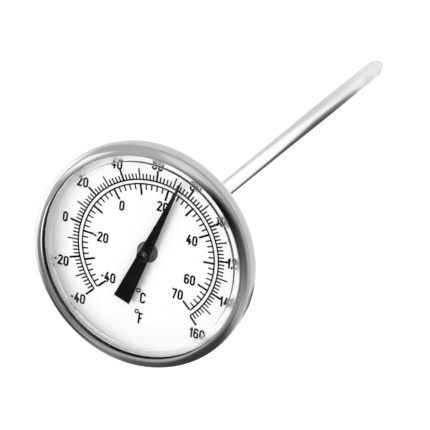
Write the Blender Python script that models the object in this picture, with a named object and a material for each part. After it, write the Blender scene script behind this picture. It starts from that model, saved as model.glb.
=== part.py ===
"""Dial soil thermometer: a steel head with a printed dial on a pointed probe stem.

A bimetal coil in the lower stem winds and unwinds with the soil's temperature and turns
a thin spindle, which carries the pointer over the dial. The head turns on its flanged
bush for calibration while the hex nut is held. Metres, +Z up along the stem, with the
origin on the axis where the bare stem leaves the nut.
"""

import math

import bmesh
import bpy
from mathutils import Vector

# Overall sizes
OVERALL_LENGTH = 0.1250
BEZEL_DIAMETER = 0.0450

# Probe stem
STEM_DIAMETER = 0.0035
STEM_WALL = 0.00025
TIP_LENGTH = 0.0056
TIP_NOSE_RADIUS = 0.00045
TIP_SPIGOT_LENGTH = 0.0040
TUBE_STAND = 0.0003

# Joint between stem and head
NUT_ACROSS_FLATS = 0.0080
NUT_HEIGHT = 0.0040
NUT_CHAMFER_ANGLE = math.radians(30.0)
NUT_FACE_INSET = 0.0001
BUSH_WALL = 0.0009
BUSH_RECESS = 0.0003
BUSH_FLANGE_WIDTH = 0.0018
BUSH_FLANGE_THICKNESS = 0.0010
SEAL_THICKNESS = 0.0006
WASHER_SHEET = 0.0003
WASHER_WAVE = 0.0003
WASHER_WAVES = 3

# Case, a drawn steel cup with a well for the bush, a ledge for the dial and a flange for the bezel
CASE_SHEET = 0.00045
CASE_DEPTH = 0.0076
CASE_WELL_DEPTH = 0.0004
CASE_WELL_MARGIN = 0.0004
CASE_WELL_DRAFT = 0.0002
CASE_CORNER_RADIUS = 0.0052
CASE_FLANGE_WIDTH = 0.0008
DIAL_LEDGE_DEPTH = 0.00137
DIAL_LEDGE_WIDTH = 0.0008

# Dial, spacer, gasket and lens
DIAL_THICKNESS = 0.0004
DIAL_HOLE_CLEARANCE = 0.0002
SPACER_WALL = 0.0004
GASKET_THICKNESS = 0.0009
GASKET_WIDTH = 0.0010
LENS_FLANGE_THICKNESS = 0.00065
LENS_RISE = 0.0008
LENS_SHOULDER_GAP = 0.00095
LENS_EDGE_RADIUS = 0.0005
LENS_GATE_DIAMETER = 0.0018
LENS_GATE_RISE = 0.00015

# Bezel, a rolled ring crimped round the lens and the case flange
BEZEL_SHEET = 0.00045
BEZEL_LIP_WIDTH = 0.00245
BEZEL_LIP_CURL = 0.0005
BEZEL_CROWN_RISE = 0.00135
BEZEL_DOME_DROP = 0.0010
BEZEL_BACK_RADIUS = 0.0009

# Movement
SPINDLE_DIAMETER = 0.0008
SPINDLE_STUB = 0.00015
SPINDLE_LENS_GAP = 0.00042
GUIDE_LENGTH = 0.0030
GUIDE_FLANGE_THICKNESS = 0.0004
LOWER_GUIDE_STAND = 0.0020
THRUST_COLLAR_WIDTH = 0.0008
THRUST_COLLAR_HEIGHT = 0.0008
COIL_COLLAR_HEIGHT = 0.0015
COIL_TURNS = 20
COIL_PITCH = 0.0016
COIL_STRIP_WIDTH = 0.0010
COIL_STRIP_THICKNESS = 0.00022
COIL_WALL_CLEARANCE = 0.0002
HUB_DIAMETER = 0.0038
HUB_DISC_THICKNESS = 0.0004
HUB_BOSS_WALL = 0.0005
POINTER_TIP_GAP = 0.0028
POINTER_TAIL = 0.0110
POINTER_TIP_WIDTH = 0.0008
POINTER_TAIL_WIDTH = 0.0035
POINTER_THICKNESS = 0.00025

# Scale: the pointer stands straight up the dial at the middle reading
MIDDLE_READING_F = 60.0
REST_READING_F = 73.4
DEGREES_PER_F = 1.3635

# Clearances
SEAT = 0.0001
PRESS_FIT = 0.00005
RUNNING_FIT = 0.00005

# Facets round a full turn
HEAD_FACETS = 64
STEM_FACETS = 24
WIRE_FACETS = 12
COIL_FACETS = 12
CORNER_STEPS = 3
BOWL_STEPS = 6
SHARP_ANGLE = math.radians(35.0)

# Heights up the stack, from the underside of the nut
SEAL_BOTTOM = NUT_HEIGHT + SEAT
CASE_BOTTOM = SEAL_BOTTOM + SEAL_THICKNESS + SEAT
CASE_FLOOR = CASE_BOTTOM + CASE_SHEET
WASHER_BOTTOM = CASE_FLOOR + SEAT
BUSH_FLANGE_BOTTOM = WASHER_BOTTOM + WASHER_SHEET + WASHER_WAVE + SEAT
BUSH_TOP = BUSH_FLANGE_BOTTOM + BUSH_FLANGE_THICKNESS
TUBE_TOP = BUSH_TOP + TUBE_STAND
FLANGE_TOP = CASE_BOTTOM + CASE_DEPTH
FLANGE_BOTTOM = FLANGE_TOP - CASE_SHEET
LEDGE_TOP = FLANGE_TOP - DIAL_LEDGE_DEPTH
LEDGE_BOTTOM = LEDGE_TOP - CASE_SHEET
DIAL_BOTTOM = LEDGE_TOP + SEAT
DIAL_FACE = DIAL_BOTTOM + DIAL_THICKNESS
GASKET_BOTTOM = FLANGE_TOP + SEAT
LENS_BOTTOM = GASKET_BOTTOM + GASKET_THICKNESS + SEAT
LENS_FLANGE_TOP = LENS_BOTTOM + LENS_FLANGE_THICKNESS
LENS_TOP = LENS_FLANGE_TOP + LENS_RISE
BEZEL_BOTTOM = FLANGE_BOTTOM - SEAT - BEZEL_SHEET

# Radii outwards in the stem and inwards from the bezel's rim
STEM_RADIUS = STEM_DIAMETER / 2
BORE_RADIUS = STEM_RADIUS - STEM_WALL
INSERT_RADIUS = BORE_RADIUS - PRESS_FIT
SPINDLE_RADIUS = SPINDLE_DIAMETER / 2
COIL_RADIUS = BORE_RADIUS - COIL_WALL_CLEARANCE
BUSH_BORE = STEM_RADIUS + PRESS_FIT
BUSH_RADIUS = BUSH_BORE + BUSH_WALL
BUSH_FLANGE_RADIUS = BUSH_RADIUS + BUSH_FLANGE_WIDTH
BEZEL_RADIUS = BEZEL_DIAMETER / 2
RIM_RADIUS = BEZEL_RADIUS - BEZEL_SHEET - SEAT
OPENING_RADIUS = BEZEL_RADIUS - BEZEL_LIP_WIDTH
CASE_WALL_OUTER = RIM_RADIUS - CASE_FLANGE_WIDTH
CASE_WALL_INNER = CASE_WALL_OUTER - CASE_SHEET
DIAL_RADIUS = CASE_WALL_INNER - SEAT
CASE_BODY_INNER = CASE_WALL_INNER - DIAL_LEDGE_WIDTH
CASE_BODY_OUTER = CASE_BODY_INNER + CASE_SHEET
SPACER_INNER = DIAL_RADIUS - SPACER_WALL
LENS_SHOULDER_RADIUS = OPENING_RADIUS - LENS_SHOULDER_GAP
HUB_RADIUS = HUB_DIAMETER / 2
POINTER_REACH = SPACER_INNER - POINTER_TIP_GAP

# Front of the bezel: the lip curls up from the lens to the crown, and a low dome falls to the wall
LIP_FOOT = LENS_FLANGE_TOP + SEAT
CROWN = LIP_FOOT + BEZEL_CROWN_RISE
CROWN_RADIUS = OPENING_RADIUS + BEZEL_LIP_CURL
DOME_BASE = CROWN - BEZEL_DOME_DROP
DOME_WIDTH = BEZEL_RADIUS - CROWN_RADIUS

# Heights down the stem and up the movement
TIP_POINT = CROWN - OVERALL_LENGTH
TIP_BASE = TIP_POINT + TIP_LENGTH
COIL_BOTTOM = TIP_BASE + TIP_SPIGOT_LENGTH + SEAT
COIL_HEIGHT = COIL_TURNS * COIL_PITCH + COIL_STRIP_WIDTH
COIL_COLLAR_BOTTOM = COIL_BOTTOM + COIL_HEIGHT + SEAT
LOWER_GUIDE_BOTTOM = COIL_COLLAR_BOTTOM + COIL_COLLAR_HEIGHT + LOWER_GUIDE_STAND
GUIDE_FLANGE_BOTTOM = TUBE_TOP + SEAT
THRUST_COLLAR_BOTTOM = GUIDE_FLANGE_BOTTOM + GUIDE_FLANGE_THICKNESS + SEAT
SPINDLE_TOP = LENS_BOTTOM - SPINDLE_LENS_GAP
POINTER_BOTTOM = SPINDLE_TOP - SPINDLE_STUB - POINTER_THICKNESS
HUB_BOTTOM = DIAL_BOTTOM


def clear_scene():
    """Start from an empty scene."""
    for leftover in list(bpy.data.objects):
        bpy.data.objects.remove(leftover, do_unlink=True)


def finish(name, colour, roughness, metallic, alpha=1.0):
    """A material with one Principled shader."""
    material = bpy.data.materials.new(name)
    material.use_nodes = True
    shader = material.node_tree.nodes["Principled BSDF"]
    shader.inputs["Base Color"].default_value = (*colour, 1.0)
    shader.inputs["Roughness"].default_value = roughness
    shader.inputs["Metallic"].default_value = metallic
    shader.inputs["Alpha"].default_value = alpha
    return material


def pivot(name):
    """An empty on the stem's axis that carries the pieces that move together."""
    empty = bpy.data.objects.new(name, None)
    bpy.context.scene.collection.objects.link(empty)
    return empty


def place(name, form, material, parent, height):
    """Turn a finished bmesh into a named object standing at its height on the axis."""
    bmesh.ops.recalc_face_normals(form, faces=form.faces)
    mesh = bpy.data.meshes.new(name)
    form.to_mesh(mesh)
    form.free()
    mesh.shade_smooth()
    mesh.set_sharp_from_angle(angle=SHARP_ANGLE)
    mesh.materials.append(material)
    piece = bpy.data.objects.new(name, mesh)
    bpy.context.scene.collection.objects.link(piece)
    piece.parent = parent
    piece.location.z = height
    return piece


def oval(centre_r, centre_z, wide, high, start, end, steps):
    """Points along part of an ellipse in the profile plane, with its angles in degrees from +r."""
    points = []
    for step in range(steps + 1):
        angle = math.radians(start + (end - start) * step / steps)
        points.append((centre_r + wide * math.cos(angle), centre_z + high * math.sin(angle)))
    return points


def arc(centre_r, centre_z, radius, start, end, steps=CORNER_STEPS):
    """Points along an arc in the profile plane, with its angles in degrees from +r."""
    return oval(centre_r, centre_z, radius, radius, start, end, steps)


def turned(profile, facets):
    """Spin a profile of (radius, height) points into a closed body about the axis.

    A profile whose first and last points lie on the axis is a solid. Any other is closed
    on itself and makes a ring.
    """
    form = bmesh.new()
    points = [form.verts.new((radius, 0.0, height)) for radius, height in profile]
    for first, second in zip(points, points[1:]):
        form.edges.new((first, second))
    if profile[0][0] > 0.0:
        form.edges.new((points[-1], points[0]))
    bmesh.ops.spin(form, geom=form.verts[:] + form.edges[:], cent=(0, 0, 0), axis=(0, 0, 1),
                   angle=math.tau, steps=facets, use_merge=True)
    bmesh.ops.remove_doubles(form, verts=form.verts, dist=SEAT / 1000)
    return form


def sleeve(inner, outer, height, facets):
    """A plain ring with square ends, standing on its lower face."""
    return turned([(outer, height), (outer, 0.0), (inner, 0.0), (inner, height)], facets)


def cut(piece, cutter_form, operation):
    """Shape a piece with a hidden cutter that stands where the piece does."""
    cutter = place(piece.name + "_cutter", cutter_form, piece.data.materials[0],
                   piece.parent, piece.location.z)
    cutter.rotation_euler = piece.rotation_euler
    cutter.hide_render = True
    cutter.display_type = "WIRE"
    boolean = piece.modifiers.new(operation.lower(), "BOOLEAN")
    boolean.object = cutter
    boolean.operation = operation
    boolean.solver = "EXACT"


def prism(outline, height):
    """An outline in the XY plane drawn up to a height."""
    form = bmesh.new()
    face = form.faces.new([form.verts.new((x, y, 0.0)) for x, y in outline])
    lifted = bmesh.ops.extrude_face_region(form, geom=[face])["geom"]
    risen = [part for part in lifted if isinstance(part, bmesh.types.BMVert)]
    bmesh.ops.translate(form, verts=risen, vec=(0, 0, height))
    return form


def make_stem_tube(parent):
    """Thin steel tube from the point up into the head."""
    steel = finish("stem_steel", (0.72, 0.72, 0.72), 0.22, 1.0)
    form = sleeve(BORE_RADIUS, STEM_RADIUS, TUBE_TOP - TIP_BASE - SEAT, STEM_FACETS)
    place("stem_tube", form, steel, parent, TIP_BASE + SEAT)


def make_stem_tip(parent):
    """Pointed plug: a long arc off the stem's wall meets a small round nose.

    The two arcs are tangent, so the long arc's radius and the angle where they meet
    follow from the stem's radius, the tip's length and the nose.
    """
    steel = finish("tip_steel", (0.70, 0.70, 0.70), 0.24, 1.0)
    nose_drop = TIP_LENGTH - TIP_NOSE_RADIUS
    side_radius = (STEM_RADIUS ** 2 + nose_drop ** 2 - TIP_NOSE_RADIUS ** 2)
    side_radius /= 2 * (STEM_RADIUS - TIP_NOSE_RADIUS)
    meeting = math.degrees(math.atan2(nose_drop, side_radius - STEM_RADIUS))
    profile = [(0.0, TIP_SPIGOT_LENGTH), (INSERT_RADIUS, TIP_SPIGOT_LENGTH), (INSERT_RADIUS, 0.0)]
    profile += arc(STEM_RADIUS - side_radius, 0.0, side_radius, 0, -meeting, BOWL_STEPS)
    profile += arc(0.0, -nose_drop, TIP_NOSE_RADIUS, -meeting, -90)[1:-1]
    profile.append((0.0, -TIP_LENGTH))
    place("stem_tip", turned(profile, STEM_FACETS), steel, parent, TIP_BASE)


def make_stem_bush(parent):
    """Flanged bush fixed on the stem: its sleeve carries the head and its nut."""
    brass = finish("bush_brass", (0.62, 0.50, 0.28), 0.35, 1.0)
    height = BUSH_TOP - BUSH_RECESS
    shoulder = BUSH_FLANGE_BOTTOM - BUSH_RECESS
    profile = [
        (BUSH_FLANGE_RADIUS, height), (BUSH_FLANGE_RADIUS, shoulder), (BUSH_RADIUS, shoulder),
        (BUSH_RADIUS, 0.0), (BUSH_BORE, 0.0), (BUSH_BORE, height),
    ]
    place("stem_bush", turned(profile, STEM_FACETS), brass, parent, BUSH_RECESS)


def make_hex_nut(parent):
    """Calibration nut behind the head, with both faces chamfered."""
    steel = finish("nut_steel", (0.66, 0.66, 0.66), 0.30, 1.0)
    flat = NUT_ACROSS_FLATS / 2
    corner = flat / math.cos(math.pi / 6)
    hexagon = [(corner * math.cos(side * math.pi / 3), corner * math.sin(side * math.pi / 3))
               for side in range(6)]
    nut = place("hex_nut", prism(hexagon, NUT_HEIGHT), steel, parent, 0.0)
    face = flat - NUT_FACE_INSET
    reach = corner * 1.1
    drop = (reach - face) * math.tan(NUT_CHAMFER_ANGLE)
    turning = [(0.0, NUT_HEIGHT), (face, NUT_HEIGHT), (reach, NUT_HEIGHT - drop), (reach, drop),
               (face, 0.0), (0.0, 0.0)]
    cut(nut, turned(turning, STEM_FACETS), "INTERSECT")
    bore = BUSH_RADIUS + PRESS_FIT
    through = turned([(0.0, NUT_HEIGHT + SEAT), (bore, NUT_HEIGHT + SEAT), (bore, -SEAT), (0.0, -SEAT)],
                     STEM_FACETS)
    cut(nut, through, "DIFFERENCE")


def make_back_seal(parent):
    """Flat fibre washer between the nut and the back of the case."""
    fibre = finish("seal_fibre", (0.16, 0.15, 0.14), 0.85, 0.0)
    form = sleeve(BUSH_RADIUS + SEAT, NUT_ACROSS_FLATS / 2 - SEAT, SEAL_THICKNESS, STEM_FACETS)
    place("back_seal", form, fibre, parent, SEAL_BOTTOM)


def make_wave_washer(parent):
    """Wavy spring washer that loads the case floor, so the head turns stiffly."""
    spring = finish("washer_steel", (0.55, 0.55, 0.55), 0.35, 1.0)
    form = sleeve(BUSH_RADIUS + SEAT, BUSH_FLANGE_RADIUS - SEAT, WASHER_SHEET, 2 * STEM_FACETS)
    for point in form.verts:
        turn = math.atan2(point.co.y, point.co.x)
        point.co.z += WASHER_WAVE * (1 + math.cos(WASHER_WAVES * turn)) / 2
    place("wave_washer", form, spring, parent, WASHER_BOTTOM)


def make_guides(parent):
    """Two bushes that keep the spindle in the middle of the tube."""
    brass = finish("guide_brass", (0.66, 0.54, 0.30), 0.32, 1.0)
    hole = SPINDLE_RADIUS + RUNNING_FIT
    place("lower_guide", sleeve(hole, INSERT_RADIUS, GUIDE_LENGTH, STEM_FACETS), brass, parent,
          LOWER_GUIDE_BOTTOM)
    top = GUIDE_FLANGE_BOTTOM + GUIDE_FLANGE_THICKNESS - TUBE_TOP + GUIDE_LENGTH
    under_flange = top - GUIDE_FLANGE_THICKNESS
    profile = [(STEM_RADIUS, top), (STEM_RADIUS, under_flange), (INSERT_RADIUS, under_flange),
               (INSERT_RADIUS, 0.0), (hole, 0.0), (hole, top)]
    flanged = finish("upper_guide_brass", (0.66, 0.54, 0.30), 0.32, 1.0)
    place("upper_guide", turned(profile, STEM_FACETS), flanged, parent, TUBE_TOP - GUIDE_LENGTH)


def coil_sections():
    """Corner points of the strip at each step along the helix, four to a section."""
    outer = COIL_RADIUS
    inner = COIL_RADIUS - COIL_STRIP_THICKNESS
    sections = []
    for step in range(COIL_TURNS * COIL_FACETS + 1):
        turn = math.tau * step / COIL_FACETS
        bottom = COIL_PITCH * step / COIL_FACETS
        top = bottom + COIL_STRIP_WIDTH
        radial = Vector((math.cos(turn), math.sin(turn), 0.0))
        sections.append([radial * outer + Vector((0, 0, bottom)), radial * outer + Vector((0, 0, top)),
                         radial * inner + Vector((0, 0, top)), radial * inner + Vector((0, 0, bottom))])
    return sections


def least_gap(sections):
    """Smallest distance between points of the strip that are over half a turn apart."""
    apart = COIL_FACETS // 2 + 1
    smallest = COIL_PITCH
    for index, section in enumerate(sections):
        for other in sections[index + apart:index + 2 * COIL_FACETS]:
            for corner in section:
                smallest = min(smallest, min((corner - point).length for point in other))
    return smallest


def make_bimetal_coil(parent):
    """Helical bimetal strip, fixed to the tip's spigot below and to the spindle above."""
    bimetal = finish("bimetal_strip", (0.58, 0.52, 0.44), 0.38, 1.0)
    sections = coil_sections()
    print("bimetal_coil least gap to itself: %.2f mm" % (least_gap(sections) * 1000))
    form = bmesh.new()
    rings = [[form.verts.new(corner) for corner in section] for section in sections]
    for ring, following in zip(rings, rings[1:]):
        for side in range(4):
            after = (side + 1) % 4
            form.faces.new((ring[side], ring[after], following[after], following[side]))
    form.faces.new(rings[0])
    form.faces.new(rings[-1])
    place("bimetal_coil", form, bimetal, parent, COIL_BOTTOM)


def make_case_cup(parent):
    """Drawn cup: well round the bush, bowl, ledge for the dial, short wall, and flange for the bezel.

    The washer and the bush's flange lie in the well, which stands out behind as a low boss.
    """
    steel = finish("case_steel", (0.70, 0.70, 0.70), 0.20, 1.0)
    hole = BUSH_RADIUS + RUNNING_FIT
    well = BUSH_FLANGE_RADIUS + CASE_WELL_MARGIN
    boss = well + CASE_SHEET
    bowl_r = CASE_BODY_OUTER - CASE_CORNER_RADIUS
    bowl_z = CASE_WELL_DEPTH + CASE_CORNER_RADIUS
    bend = CASE_CORNER_RADIUS - CASE_SHEET
    flange_top = FLANGE_TOP - CASE_BOTTOM
    flange_bottom = FLANGE_BOTTOM - CASE_BOTTOM
    ledge_top = LEDGE_TOP - CASE_BOTTOM
    ledge_bottom = LEDGE_BOTTOM - CASE_BOTTOM
    edge = min(BEZEL_BACK_RADIUS - BEZEL_SHEET, CASE_SHEET)
    profile = arc(RIM_RADIUS - edge, flange_bottom + edge, edge, 0, -90)
    profile += [
        (CASE_WALL_OUTER, flange_bottom), (CASE_WALL_OUTER, ledge_bottom), (CASE_BODY_OUTER, ledge_bottom),
    ]
    profile += arc(bowl_r, bowl_z, CASE_CORNER_RADIUS, 0, -90, BOWL_STEPS)
    profile += [(boss, CASE_WELL_DEPTH), (boss - CASE_WELL_DRAFT, 0.0), (hole, 0.0), (hole, CASE_SHEET)]
    profile += [(well - CASE_WELL_DRAFT, CASE_SHEET), (well, CASE_SHEET + CASE_WELL_DEPTH)]
    profile += arc(bowl_r, bowl_z, bend, -90, 0, BOWL_STEPS)
    profile += [(CASE_BODY_INNER, ledge_top), (CASE_WALL_INNER, ledge_top), (CASE_WALL_INNER, flange_top)]
    place("case_cup", turned(profile, HEAD_FACETS), steel, parent, CASE_BOTTOM)


def make_dial_plate(parent):
    """Flat printed disc with a hole for the pointer's hub."""
    white = finish("dial_white", (0.90, 0.90, 0.89), 0.55, 0.0)
    hole = HUB_RADIUS + DIAL_HOLE_CLEARANCE
    place("dial_plate", sleeve(hole, DIAL_RADIUS, DIAL_THICKNESS, HEAD_FACETS), white, parent, DIAL_BOTTOM)


def make_spacer_ring(parent):
    """White ring that keeps the dial down on its ledge under the lens."""
    white = finish("spacer_white", (0.86, 0.86, 0.85), 0.50, 0.0)
    bottom = DIAL_FACE + SEAT
    height = LENS_BOTTOM - SEAT - bottom
    place("spacer_ring", sleeve(SPACER_INNER, DIAL_RADIUS, height, HEAD_FACETS), white, parent, bottom)


def make_lens_gasket(parent):
    """Flat rubber ring between the case flange and the lens."""
    rubber = finish("gasket_rubber", (0.05, 0.05, 0.05), 0.80, 0.0)
    form = sleeve(RIM_RADIUS - GASKET_WIDTH, RIM_RADIUS, GASKET_THICKNESS, HEAD_FACETS)
    place("lens_gasket", form, rubber, parent, GASKET_BOTTOM)


def make_lens(parent):
    """Clear moulding: a raised flat window with a shoulder, on a flange the bezel holds.

    The low pip in the middle of the window is where the moulding was filled.
    """
    clear = finish("lens_clear", (0.96, 0.97, 0.97), 0.05, 0.0, alpha=0.25)
    top = LENS_TOP - LENS_BOTTOM
    flange_top = LENS_FLANGE_TOP - LENS_BOTTOM
    pip = LENS_GATE_DIAMETER / 2
    profile = [(0.0, top + LENS_GATE_RISE), (pip, top + LENS_GATE_RISE), (pip, top)]
    profile += arc(LENS_SHOULDER_RADIUS - LENS_EDGE_RADIUS, top - LENS_EDGE_RADIUS, LENS_EDGE_RADIUS, 90, 0)
    profile += [
        (LENS_SHOULDER_RADIUS, flange_top), (RIM_RADIUS, flange_top), (RIM_RADIUS, 0.0), (0.0, 0.0),
    ]
    place("lens", turned(profile, HEAD_FACETS), clear, parent, LENS_BOTTOM)


def make_bezel_ring(parent):
    """Polished ring rolled from sheet: curled lip, low dome, wall, and crimp under the flange."""
    steel = finish("bezel_steel", (0.80, 0.80, 0.80), 0.10, 1.0)
    foot_z = LIP_FOOT - BEZEL_BOTTOM
    dome_z = DOME_BASE - BEZEL_BOTTOM
    crimp_r = BEZEL_RADIUS - BEZEL_BACK_RADIUS
    crimp_z = BEZEL_BACK_RADIUS
    crimp_edge = CASE_WALL_OUTER + SEAT
    inside_drop = BEZEL_DOME_DROP - BEZEL_SHEET
    profile = oval(CROWN_RADIUS, foot_z, BEZEL_LIP_CURL, BEZEL_CROWN_RISE, 180, 90, CORNER_STEPS)
    profile += oval(CROWN_RADIUS, dome_z, DOME_WIDTH, BEZEL_DOME_DROP, 90, 0, BOWL_STEPS)[1:]
    profile += arc(crimp_r, crimp_z, BEZEL_BACK_RADIUS, 0, -90)
    profile += [(crimp_edge, 0.0), (crimp_edge, BEZEL_SHEET)]
    profile += arc(crimp_r, crimp_z, BEZEL_BACK_RADIUS - BEZEL_SHEET, -90, 0)
    profile += oval(CROWN_RADIUS, dome_z, DOME_WIDTH - BEZEL_SHEET, inside_drop, 0, 90, CORNER_STEPS)
    profile.append((OPENING_RADIUS + BEZEL_SHEET, foot_z))
    place("bezel_ring", turned(profile, HEAD_FACETS), steel, parent, BEZEL_BOTTOM)


def make_spindle(parent):
    """Thin wire from the coil up to the pointer."""
    wire = finish("spindle_steel", (0.62, 0.62, 0.62), 0.28, 1.0)
    height = SPINDLE_TOP - COIL_COLLAR_BOTTOM
    profile = [(0.0, height), (SPINDLE_RADIUS, height), (SPINDLE_RADIUS, 0.0), (0.0, 0.0)]
    place("spindle", turned(profile, WIRE_FACETS), wire, parent, COIL_COLLAR_BOTTOM)


def make_collars(parent):
    """Coil collar at the spindle's foot, and the thrust collar that rides on the upper guide."""
    brass = finish("coil_collar_brass", (0.66, 0.54, 0.30), 0.32, 1.0)
    thrust = finish("thrust_collar_brass", (0.66, 0.54, 0.30), 0.32, 1.0)
    hole = SPINDLE_RADIUS + PRESS_FIT
    place("coil_collar", sleeve(hole, COIL_RADIUS, COIL_COLLAR_HEIGHT, WIRE_FACETS), brass, parent,
          COIL_COLLAR_BOTTOM)
    place("thrust_collar", sleeve(hole, hole + THRUST_COLLAR_WIDTH, THRUST_COLLAR_HEIGHT, WIRE_FACETS),
          thrust, parent, THRUST_COLLAR_BOTTOM)


def make_pointer_hub(parent):
    """Turned hub: a disc level with the dial, and a boss that carries the pointer."""
    steel = finish("hub_steel", (0.55, 0.55, 0.55), 0.30, 1.0)
    hole = SPINDLE_RADIUS + PRESS_FIT
    boss = hole + HUB_BOSS_WALL
    height = POINTER_BOTTOM - SEAT - HUB_BOTTOM
    profile = [
        (boss, height), (boss, HUB_DISC_THICKNESS), (HUB_RADIUS, HUB_DISC_THICKNESS), (HUB_RADIUS, 0.0),
        (hole, 0.0), (hole, height),
    ]
    place("pointer_hub", turned(profile, STEM_FACETS), steel, parent, HUB_BOTTOM)


def make_pointer_blade(parent):
    """Stamped pointer, a long taper from a broad tail to a narrow blunt tip."""
    black = finish("pointer_black", (0.01, 0.01, 0.01), 0.45, 0.0)
    outline = [
        (-POINTER_TIP_WIDTH / 2, POINTER_REACH), (-POINTER_TAIL_WIDTH / 2, -POINTER_TAIL),
        (POINTER_TAIL_WIDTH / 2, -POINTER_TAIL), (POINTER_TIP_WIDTH / 2, POINTER_REACH),
    ]
    blade = place("pointer_blade", prism(outline, POINTER_THICKNESS), black, parent, POINTER_BOTTOM)
    hole = SPINDLE_RADIUS + PRESS_FIT
    above = POINTER_THICKNESS + SEAT
    through = turned([(0.0, above), (hole, above), (hole, -SEAT), (0.0, -SEAT)], WIRE_FACETS)
    cut(blade, through, "DIFFERENCE")


clear_scene()

stem = pivot("stem_axis")
make_stem_tube(stem)
make_stem_tip(stem)
make_stem_bush(stem)
make_hex_nut(stem)
make_back_seal(stem)
make_wave_washer(stem)
make_guides(stem)
make_bimetal_coil(stem)

head = pivot("head_axis")
make_case_cup(head)
make_dial_plate(head)
make_spacer_ring(head)
make_lens_gasket(head)
make_lens(head)
make_bezel_ring(head)

pointer = pivot("pointer_axis")
make_spindle(pointer)
make_collars(pointer)
make_pointer_hub(pointer)
make_pointer_blade(pointer)
pointer.rotation_euler.z = -math.radians((REST_READING_F - MIDDLE_READING_F) * DEGREES_PER_F)
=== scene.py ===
import math

import bmesh
import bpy
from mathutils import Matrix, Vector


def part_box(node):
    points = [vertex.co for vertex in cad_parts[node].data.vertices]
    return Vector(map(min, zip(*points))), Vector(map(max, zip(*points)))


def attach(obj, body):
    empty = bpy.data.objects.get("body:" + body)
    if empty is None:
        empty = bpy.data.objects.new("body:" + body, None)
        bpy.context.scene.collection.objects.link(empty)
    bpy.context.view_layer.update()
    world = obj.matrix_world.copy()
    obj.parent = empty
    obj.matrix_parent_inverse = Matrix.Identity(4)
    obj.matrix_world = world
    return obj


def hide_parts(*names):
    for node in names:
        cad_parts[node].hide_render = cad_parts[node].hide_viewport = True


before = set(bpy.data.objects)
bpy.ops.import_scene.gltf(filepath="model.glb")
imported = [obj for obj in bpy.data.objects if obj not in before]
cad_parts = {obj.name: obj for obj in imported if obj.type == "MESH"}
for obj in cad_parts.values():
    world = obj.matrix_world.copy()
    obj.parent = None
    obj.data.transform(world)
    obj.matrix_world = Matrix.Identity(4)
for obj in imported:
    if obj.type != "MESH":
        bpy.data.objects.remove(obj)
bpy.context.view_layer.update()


# Probe stem: a thin drawn stainless tube, polished along its length on a belt.
# Its foot is welded to the point, and its top is pressed into the bush in the head.
tube_low, tube_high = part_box("stem_tube")
STEM_RADIUS = tube_high.x
STEM_WALL = 0.00025
STEM_EDGE = 0.00005
STEM_STEPS = 96
STEM_GREY = (0.84, 0.84, 0.85)
STEM_SHADE = (0.78, 0.78, 0.79)
MERGE_DISTANCE = 0.000001
SMOOTH_ANGLE = math.radians(32.0)
BEND_STEP = math.radians(6.0)


def rounded(corners, closed=True):
    """Outline points from (radius, height, corner radius) corners, each corner drawn as an arc."""
    points = []
    for index, (r, z, radius) in enumerate(corners):
        here = Vector((r, z))
        ends = index in (0, len(corners) - 1) and not closed
        if radius == 0 or ends:
            points.append((r, z))
            continue
        before = Vector(corners[index - 1][:2]) - here
        after = Vector(corners[(index + 1) % len(corners)][:2]) - here
        half = before.angle(after) / 2
        centre = here + (before.normalized() + after.normalized()).normalized() * radius / math.sin(half)
        start = here + before.normalized() * radius / math.tan(half) - centre
        turn = start.angle_signed(here + after.normalized() * radius / math.tan(half) - centre)
        steps = max(2, math.ceil(abs(turn) / BEND_STEP))
        for step in range(steps + 1):
            angle = -turn * step / steps
            spoke = Vector((start.x * math.cos(angle) - start.y * math.sin(angle),
                            start.x * math.sin(angle) + start.y * math.cos(angle)))
            points.append(tuple(centre + spoke))
    return points


def open_mesh(name):
    """Start a new piece in edit mode as a single point at the origin."""
    bpy.ops.object.select_all(action="DESELECT")
    bpy.ops.mesh.primitive_plane_add(size=STEM_RADIUS, location=(0, 0, 0))
    piece = bpy.context.object
    piece.name = name
    piece.data.name = name
    bpy.ops.object.mode_set(mode="EDIT")
    bpy.ops.mesh.select_mode(type="VERT")
    bpy.ops.mesh.select_all(action="SELECT")
    bpy.ops.mesh.merge(type="CENTER")
    return piece


def close_mesh():
    """Weld the seams of the piece being edited, turn its faces outwards and smooth it."""
    bpy.ops.mesh.select_all(action="SELECT")
    bpy.ops.mesh.remove_doubles(threshold=MERGE_DISTANCE)
    bpy.ops.mesh.normals_make_consistent(inside=False)
    bpy.ops.object.mode_set(mode="OBJECT")
    bpy.ops.object.shade_smooth_by_angle(angle=SMOOTH_ANGLE)


def turned(name, outline, steps):
    """Draw an outline of (radius, height) points by extruding a point, and spin it about the stem's axis."""
    piece = open_mesh(name)
    route = list(outline)
    if route[0][0] > 0:
        route.append(route[0])
    bpy.ops.transform.translate(value=(route[0][0], 0, route[0][1]))
    for (radius, height), (next_radius, next_height) in zip(route, route[1:]):
        step = (next_radius - radius, 0, next_height - height)
        bpy.ops.mesh.extrude_region_move(TRANSFORM_OT_translate={"value": step})
    bpy.ops.mesh.select_all(action="SELECT")
    bpy.ops.mesh.spin(steps=steps, angle=math.tau, center=(0, 0, 0), axis=(0, 0, 1))
    close_mesh()
    return piece


def finish(name, colour, roughness, metallic):
    """A material with one Principled shader at its plain values."""
    material = bpy.data.materials.new(name)
    material.use_nodes = True
    shader = material.node_tree.nodes["Principled BSDF"]
    shader.inputs["Base Color"].default_value = (*colour, 1.0)
    shader.inputs["Roughness"].default_value = roughness
    shader.inputs["Metallic"].default_value = metallic
    return material


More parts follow.
